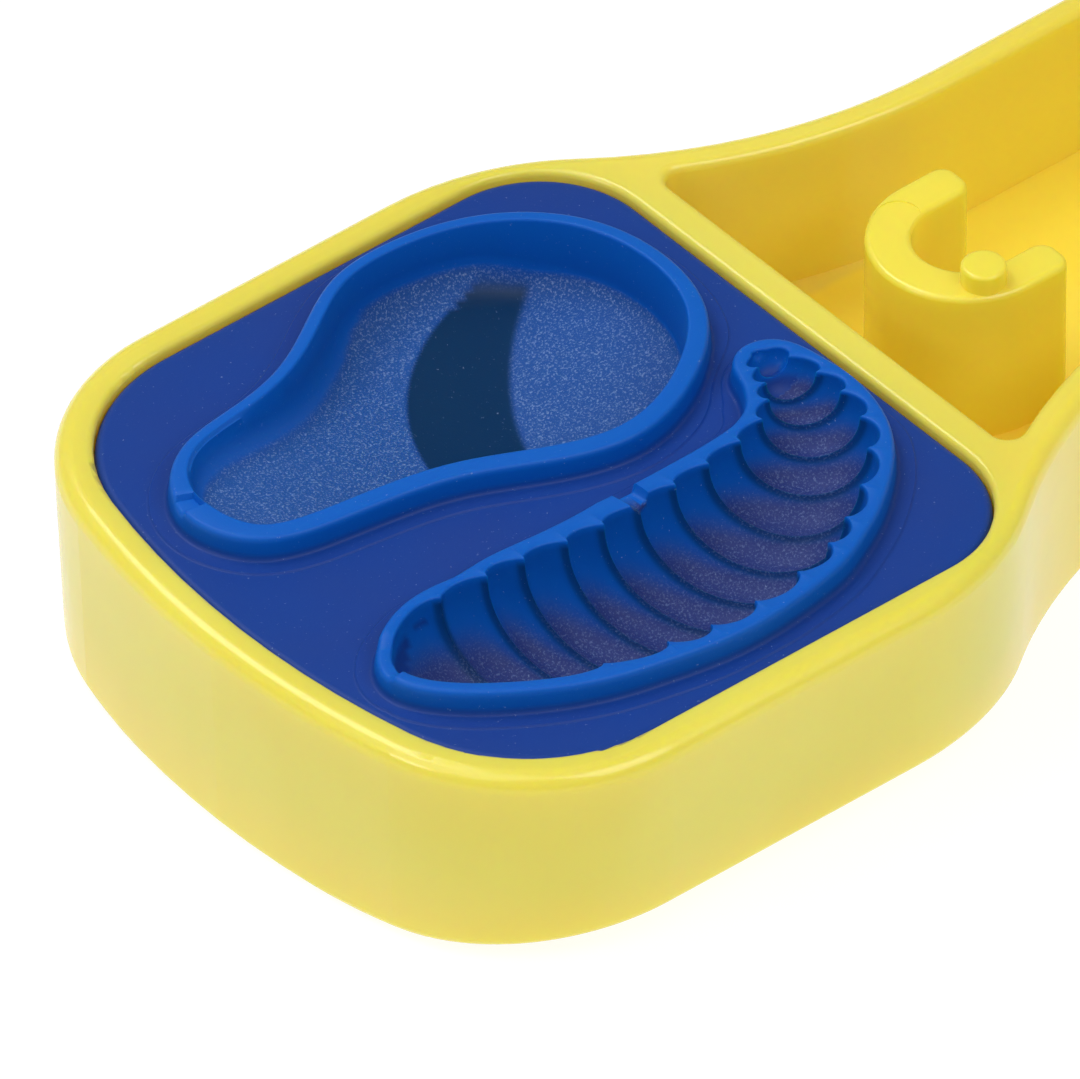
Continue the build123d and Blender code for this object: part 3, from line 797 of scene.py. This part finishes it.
def upper_mould_skin():
    """Slab with two shallow nests and the other halves of the two hollows, drawn like the lower one."""
    skin = Skin()
    low, top = slab_rings(skin, EDGE_ROUND)
    outer, away, inner = pear_plans()
    pear = nest_rings(skin, outer, away)
    edge_top = skin.ring(inner + away * PEAR_EDGE_OUT, -NEST_DEPTH)
    skin.strip(pear[-1], edge_top)
    pear_cavity(skin, inner, edge_top, -NEST_DEPTH + 0.02)
    edge, edge_away, pinch, lip, _, far_count = grub_plans()
    grub = nest_rings(skin, lip, outward(lip))
    rim = grub_cavity(skin, edge, pinch, far_count, -NEST_DEPTH - 0.1, np.zeros(len(edge)))
    rim_plan = np.array([skin.points[i][:2] for i in rim])
    soft = skin.ring(rim_plan + edge_away * 0.1, -NEST_DEPTH)
    skin.strips([rim, soft, grub[-1]])
    skin.flat(top, pear[0], grub[0])
    slab_back(skin, low)
    return skin


def lower_place():
    """From the insert's own heights to the frame's."""
    return Matrix.Translation((0, 0, FLAT_Z * MM))


def upper_place():
    """Mirrored about the parting plane and turned open about the hinge."""
    flip = Matrix.Translation((0, 0, 2 * PARTING_Z * MM)) @ Matrix.Diagonal((1, 1, -1, 1))
    opened = Matrix.Rotation(OPEN_ANGLE, 4, "Y")
    turn = Matrix.Translation(HINGE_AT) @ opened @ Matrix.Translation(-HINGE_AT)
    return turn @ flip @ lower_place()


# Grip pads and spring


def rib_tree():
    """Geometry Nodes that lay a rounded rib along X at a pitch, on any pad."""
    tree = bpy.data.node_groups.new("grip_ribs", "GeometryNodeTree")
    face = tree.interface
    face.new_socket("Geometry", in_out="INPUT", socket_type="NodeSocketGeometry")
    sizes = (("Count", 13), ("Pitch", 0.0024), ("Length", 0.009), ("Radius", 0.0006), ("Sink", 0.0005))
    for label, value in sizes:
        kind = "NodeSocketInt" if label == "Count" else "NodeSocketFloat"
        face.new_socket(label, in_out="INPUT", socket_type=kind).default_value = value
    face.new_socket("Material", in_out="INPUT", socket_type="NodeSocketMaterial")
    face.new_socket("Geometry", in_out="OUTPUT", socket_type="NodeSocketGeometry")
    nodes, links = tree.nodes, tree.links
    given, out = nodes.new("NodeGroupInput"), nodes.new("NodeGroupOutput")

    def vector(x=None, y=None, z=None):
        node = nodes.new("ShaderNodeCombineXYZ")
        for value, socket in zip((x, y, z), node.inputs):
            if value is not None:
                links.new(value, socket)
        return node.outputs[0]

    gaps = maths(tree, "SUBTRACT", given.outputs["Count"], 1)
    span = maths(tree, "MULTIPLY", gaps, given.outputs["Pitch"])
    row = nodes.new("GeometryNodeMeshLine")
    links.new(given.outputs["Count"], row.inputs["Count"])
    start = vector(x=maths(tree, "MULTIPLY", span, -0.5), z=given.outputs["Sink"])
    links.new(start, row.inputs["Start Location"])
    links.new(vector(x=given.outputs["Pitch"]), row.inputs["Offset"])
    bar = nodes.new("GeometryNodeCurvePrimitiveLine")
    half = maths(tree, "MULTIPLY", given.outputs["Length"], 0.5)
    links.new(vector(y=maths(tree, "MULTIPLY", half, -1)), bar.inputs["Start"])
    links.new(vector(y=half), bar.inputs["End"])
    round_section = nodes.new("GeometryNodeCurvePrimitiveCircle")
    round_section.inputs["Resolution"].default_value = 16
    links.new(given.outputs["Radius"], round_section.inputs["Radius"])
    rib = nodes.new("GeometryNodeCurveToMesh")
    rib.inputs["Fill Caps"].default_value = True
    links.new(bar.outputs["Curve"], rib.inputs["Curve"])
    links.new(round_section.outputs["Curve"], rib.inputs["Profile Curve"])
    spread = nodes.new("GeometryNodeInstanceOnPoints")
    links.new(row.outputs["Mesh"], spread.inputs["Points"])
    links.new(rib.outputs["Mesh"], spread.inputs["Instance"])
    both = nodes.new("GeometryNodeJoinGeometry")
    links.new(given.outputs["Geometry"], both.inputs["Geometry"])
    links.new(spread.outputs["Instances"], both.inputs["Geometry"])
    real = nodes.new("GeometryNodeRealizeInstances")
    links.new(both.outputs["Geometry"], real.inputs["Geometry"])
    finish = nodes.new("GeometryNodeSetMaterial")
    links.new(real.outputs["Geometry"], finish.inputs["Geometry"])
    links.new(given.outputs["Material"], finish.inputs["Material"])
    links.new(finish.outputs["Geometry"], out.inputs["Geometry"])
    return tree


def baked(obj):
    """Turns an object with live modifiers into one with a plain mesh."""
    seen = obj.evaluated_get(bpy.context.evaluated_depsgraph_get())
    mesh = bpy.data.meshes.new_from_object(seen)
    obj.modifiers.clear()
    obj.data = mesh
    return obj


def pad_plan(half_length, half_width, count=40):
    """A long slot shape, clockwise."""
    turns = np.linspace(pi / 2, -pi / 2, count)
    end = np.stack([np.cos(turns), np.sin(turns)], axis=1) * half_width
    right = end + (half_length - half_width, 0)
    return np.concatenate([right, -right])


def grip_pad(settings, name, node, place, material):
    """A pad with a raised border and ribs in a sunk field, in the lower arm's frame and then placed."""
    low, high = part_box("lower_grip_pad")
    half_length, half_width = (high.x - low.x) / 2 / MM, (high.y - low.y) / 2 / MM
    thick = (high.z - low.z) / MM
    skin = Skin()
    border = settings.pad_border / MM
    sink = settings.pad_sink / MM
    profile = [(0.0, thick), (0.0, 0.25), (0.08, 0.07), (0.25, 0.0), (border - 0.2, 0.0),
               (border - 0.05, 0.07), (border, 0.25), (border, sink - 0.1), (border + 0.1, sink)]
    rings = [skin.ring(pad_plan(half_length - inset, half_width - inset), z) for inset, z in profile]
    skin.strips(rings)
    skin.flat(rings[0])
    skin.flat(rings[-1])
    pad = skin.piece(name)
    ribs = pad.modifiers.new("ribs", "NODES")
    ribs.node_group = bpy.data.node_groups["grip_ribs"]
    values = {
        "Count": settings.rib_count, "Pitch": settings.rib_pitch, "Radius": settings.rib_radius,
        "Sink": settings.rib_sink, "Length": (half_width - border + 0.3) * 2 * MM, "Material": material,
    }
    for item in ribs.node_group.interface.items_tree:
        if item.in_out == "INPUT" and item.name in values:
            ribs[item.identifier] = values[item.name]
    baked(pad)
    middle = Vector(((low.x + high.x) / 2, (low.y + high.y) / 2, low.z))
    pad.data.transform(place @ Matrix.Translation(middle))
    if place.determinant() < 0:
        pad.data.flip_normals()
    pad.data.shade_smooth()
    pad.data.set_sharp_from_angle(angle=SHARP_ANGLE)
    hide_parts(node)
    return pad


# Operators


class TongsSizes(bpy.types.PropertyGroup):
    """Sizes that a user may change without leaving the frame."""

    pad_border: bpy.props.FloatProperty(
        name="Pad border", description="Width of a grip pad's raised border",
        default=0.0011, min=0.0006, max=0.002, unit="LENGTH",
    )
    pad_sink: bpy.props.FloatProperty(
        name="Pad field depth", description="How far the ribbed field lies below the border",
        default=0.0007, min=0.0003, max=0.0009, unit="LENGTH",
    )
    rib_count: bpy.props.IntProperty(
        name="Ribs", description="How many ribs a grip pad has", default=15, min=3, max=25
    )
    rib_pitch: bpy.props.FloatProperty(
        name="Rib pitch", description="Distance between ribs", default=0.0024, unit="LENGTH"
    )
    rib_radius: bpy.props.FloatProperty(
        name="Rib radius", description="Radius of a rib's round top", default=0.00062, unit="LENGTH"
    )
    rib_sink: bpy.props.FloatProperty(
        name="Rib sink", description="How far a rib's axis lies below the border",
        default=0.00055, min=0.0003, max=0.0009, unit="LENGTH",
    )
    wire_radius: bpy.props.FloatProperty(
        name="Wire radius", description="Radius of the spring's wire", default=0.0005, unit="LENGTH"
    )


class TongsColours(bpy.types.PropertyGroup):
    """Base colours of the plastic and rubber."""

    arm_colour: bpy.props.FloatVectorProperty(
        name="Arm", description="Yellow of both arms", subtype="COLOR", default=(0.85, 0.71, 0.105)
    )
    # Painted light: warmer yellow for light bounced and glowing inside the handle's channel.
    painted_glow_colour: bpy.props.FloatVectorProperty(
        name="Hollow", description="Warmer yellow inside the thin handle", subtype="COLOR",
        default=(0.96, 0.76, 0.075),
    )
    mould_colour: bpy.props.FloatVectorProperty(
        name="Mould", description="Blue of the inserts' flats", subtype="COLOR",
        default=(0.005, 0.044, 0.27),
    )
    # Partly the thin rubber's own lighter blue, partly painted light on lit walls.
    thin_and_lit_wall_colour: bpy.props.FloatVectorProperty(
        name="Lip", description="Lighter blue where the rubber is thin", subtype="COLOR",
        default=(0.0, 0.105, 0.5),
    )
    # Painted shade on the dish's slope and in the grub's grooves.
    painted_shade_colour: bpy.props.FloatVectorProperty(
        name="Deep", description="Dark teal of the hollows", subtype="COLOR", default=(0.0, 0.03, 0.1)
    )
    # Partly the eroded floors' own blue, partly painted light on the lit floors.
    floor_colour: bpy.props.FloatVectorProperty(
        name="Floors", description="Blue of the grained floors", subtype="COLOR",
        default=(0.012, 0.085, 0.33),
    )
    # Painted glints on the grained floors.
    painted_glint_colour: bpy.props.FloatVectorProperty(
        name="Flecks", description="Light flecks in the grained floors", subtype="COLOR",
        default=(0.36, 0.5, 0.78),
    )
    pad_colour: bpy.props.FloatVectorProperty(
        name="Pad", description="Blue of the grip pads", subtype="COLOR", default=(0.012, 0.05, 0.28)
    )


class TONGS_OT_materials(bpy.types.Operator):
    """Build the shader groups and every material"""

    bl_idname = "tongs.materials"
    bl_label = "Materials"

    def execute(self, context):
        flecks_group()
        unevenness_group()
        colours = context.scene.tongs_colours
        arm_plastic(colours)
        mould_rubber(colours)
        pad_rubber(colours)
        metal("plated_steel", (0.72, 0.72, 0.74), 0.22, 900.0)
        metal("spring_wire", (0.5, 0.5, 0.52), 0.3, 2400.0)
        bearing_plastic()
        return {"FINISHED"}


class TONGS_OT_arms(bpy.types.Operator):
    """Finish both arms"""

    bl_idname = "tongs.arms"
    bl_label = "Arms"

    def execute(self, context):
        for node in ("lower_arm", "upper_arm"):
            dress(frame["nodes"][node], bpy.data.materials["glossy_yellow_plastic"])
        return {"FINISHED"}


class TONGS_OT_moulds(bpy.types.Operator):
    """Build both soft inserts in place of their plain solids"""

    bl_idname = "tongs.moulds"
    bl_label = "Mould inserts"

    def execute(self, context):
        made = (
            ("lower_insert", "lower_mould", "lower", lower_mould_skin(), lower_place()),
            ("upper_insert", "upper_mould", "upper", upper_mould_skin(), upper_place()),
        )
        for name, node, body, skin, place in made:
            insert = skin.piece(name, place)
            paint_mould(insert, place.inverted())
            dress(insert, bpy.data.materials["blue_moulding_rubber"])
            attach(insert, body)
            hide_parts(node)
        return {"FINISHED"}


class TONGS_OT_pads(bpy.types.Operator):
    """Build the ribbed grip pads"""

    bl_idname = "tongs.pads"
    bl_label = "Grip pads"

    def execute(self, context):
        rib_tree()
        rubber = bpy.data.materials["matt_blue_rubber"]
        sizes = context.scene.tongs_sizes
        upper = upper_place() @ lower_place().inverted()
        for body, place in (("lower", Matrix.Identity(4)), ("upper", upper)):
            pad = grip_pad(sizes, f"{body}_ribbed_pad", f"{body}_grip_pad", place, rubber)
            dress(pad, rubber)
            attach(pad, body)
        return {"FINISHED"}


class TONGS_OT_spring(bpy.types.Operator):
    """Wind the torsion spring round the hinge"""

    bl_idname = "tongs.spring"
    bl_label = "Spring"

    def execute(self, context):
        radius, half, leg = COIL_RADIUS * MM, COIL_HALF_LENGTH * MM, COIL_LEG * MM
        turns = COIL_FULL_TURNS + (pi - OPEN_ANGLE) / tau
        swing = np.linspace(-pi / 2, -pi / 2 + turns * tau, 240)
        coil = [(radius * cos(a), radius * sin(a)) for a in swing]
        last = swing[-1]
        path = [(-leg, -radius), (-leg * 0.5, -radius), (-leg * 0.12, -radius)]
        side = [-half] * 3 + list(np.linspace(-half, half, len(swing)))
        path += coil
        for share in (0.12, 0.5, 1.0):
            path.append((coil[-1][0] - sin(last) * leg * share, coil[-1][1] + cos(last) * leg * share))
            side.append(half)
        curve = bpy.data.curves.new("torsion_coil", "CURVE")
        curve.dimensions = "3D"
        curve.bevel_depth = context.scene.tongs_sizes.wire_radius
        curve.bevel_resolution = 5
        curve.use_fill_caps = True
        wire = curve.splines.new("POLY")
        wire.points.add(len(path) - 1)
        for point, (x, z), y in zip(wire.points, path, side):
            point.co = (HINGE_AT.x + x, y, HINGE_AT.z + z, 1)
        source = bpy.data.objects.new("torsion_coil", curve)
        bpy.context.scene.collection.objects.link(source)
        seen = source.evaluated_get(context.evaluated_depsgraph_get())
        mesh = bpy.data.meshes.new_from_object(seen)
        bpy.data.objects.remove(source)
        spring = bpy.data.objects.new("wound_spring", mesh)
        bpy.context.scene.collection.objects.link(spring)
        mesh.shade_smooth()
        mesh.set_sharp_from_angle(angle=radians(50))
        dress(spring, bpy.data.materials["spring_wire"])
        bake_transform(spring)
        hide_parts("torsion_spring")
        return {"FINISHED"}


class TONGS_OT_hinge(bpy.types.Operator):
    """Finish the pin, its cap, the bush and the washers"""

    bl_idname = "tongs.hinge"
    bl_label = "Hinge parts"

    def execute(self, context):
        for node in ("hinge_pin", "pin_cap"):
            dress(frame["nodes"][node], bpy.data.materials["plated_steel"])
        for node in ("spring_bush", "hinge_washer_left", "hinge_washer_right"):
            dress(frame["nodes"][node], bpy.data.materials["natural_bearing_plastic"])
        return {"FINISHED"}


def area_light(name, at, target, size, power):
    """A square soft light that faces a point."""
    data = bpy.data.lights.new(name, "AREA")
    data.shape = "SQUARE"
    data.size = size
    data.energy = power
    light = bpy.data.objects.new(name, data)
    light.location = at
    light.rotation_euler = (Vector(target) - Vector(at)).to_track_quat("-Z", "Y").to_euler()
    bpy.context.scene.collection.objects.link(light)


class TONGS_OT_stage(bpy.types.Operator):
    """Set the floor, the lights and the camera"""

    bl_idname = "tongs.stage"
    bl_label = "Stage"

    def execute(self, context):
        scene = context.scene
        scene.view_settings.view_transform = "Standard"
        floor_mesh = bpy.data.meshes.new("floor")
        corners = [(x * FLOOR_REACH, y * FLOOR_REACH, 0) for x, y in ((-1, -1), (1, -1), (1, 1), (-1, 1))]
        floor_mesh.from_pydata(corners, [], [(0, 1, 2, 3)])
        floor = bpy.data.objects.new("floor", floor_mesh)
        floor.location.z = -FLOOR_GAP
        scene.collection.objects.link(floor)
        material, _, shader, _ = new_material("pale_floor", (0.2, 0.2, 0.2), 0.9)
        shader.inputs["Emission Color"].default_value = (1, 1, 1, 1)
        shader.inputs["Emission Strength"].default_value = FLOOR_GLOW
        dress(floor, material)
        world = bpy.data.worlds.new("soft_white")
        world.use_nodes = True
        background = world.node_tree.nodes["Background"]
        background.inputs["Color"].default_value = (1, 1, 1, 1)
        background.inputs["Strength"].default_value = WORLD_STRENGTH
        scene.world = world
        for light in LIGHTS:
            area_light(*light)
        data = bpy.data.cameras.new("camera")
        data.sensor_width = 36.0
        data.lens = CAMERA_LENS
        data.clip_end = 10.0
        camera = bpy.data.objects.new("camera", data)
        azimuth, elevation = radians(CAMERA_AZIMUTH), radians(CAMERA_ELEVATION)
        back = Vector((sin(azimuth) * cos(elevation), -cos(azimuth) * cos(elevation), sin(elevation)))
        camera.location = CAMERA_AIM + back * CAMERA_DISTANCE
        camera.rotation_euler = (pi / 2 - elevation, 0, azimuth)
        scene.collection.objects.link(camera)
        scene.camera = camera
        return {"FINISHED"}


class TONGS_PT_parts(bpy.types.Panel):
    """Lists the steps that build the tongs"""

    bl_idname = "TONGS_PT_parts"
    bl_label = "Moulding tongs"
    bl_space_type = "VIEW_3D"
    bl_region_type = "UI"
    bl_category = "Tongs"

    def draw(self, context):
        for group in (context.scene.tongs_sizes, context.scene.tongs_colours):
            for name in group.__annotations__:
                self.layout.prop(group, name)
        for step in STEPS:
            self.layout.operator(step.bl_idname)


STEPS = (
    TONGS_OT_stage, TONGS_OT_materials, TONGS_OT_arms, TONGS_OT_moulds, TONGS_OT_pads, TONGS_OT_spring,
    TONGS_OT_hinge,
)
CLASSES = (TongsSizes, TongsColours, *STEPS, TONGS_PT_parts)


def register():
    """Registers the classes and their settings."""
    for item in CLASSES:
        bpy.utils.register_class(item)
    bpy.types.Scene.tongs_sizes = bpy.props.PointerProperty(type=TongsSizes)
    bpy.types.Scene.tongs_colours = bpy.props.PointerProperty(type=TongsColours)


def unregister():
    """Removes the settings and the classes."""
    del bpy.types.Scene.tongs_colours
    del bpy.types.Scene.tongs_sizes
    for item in reversed(CLASSES):
        bpy.utils.unregister_class(item)


def main():
    """Builds everything in order."""
    register()
    bpy.ops.tongs.stage()
    bpy.ops.tongs.materials()
    bpy.ops.tongs.arms()
    bpy.ops.tongs.moulds()
    bpy.ops.tongs.pads()
    bpy.ops.tongs.spring()
    bpy.ops.tongs.hinge()


if __name__ == "__main__":
    main()
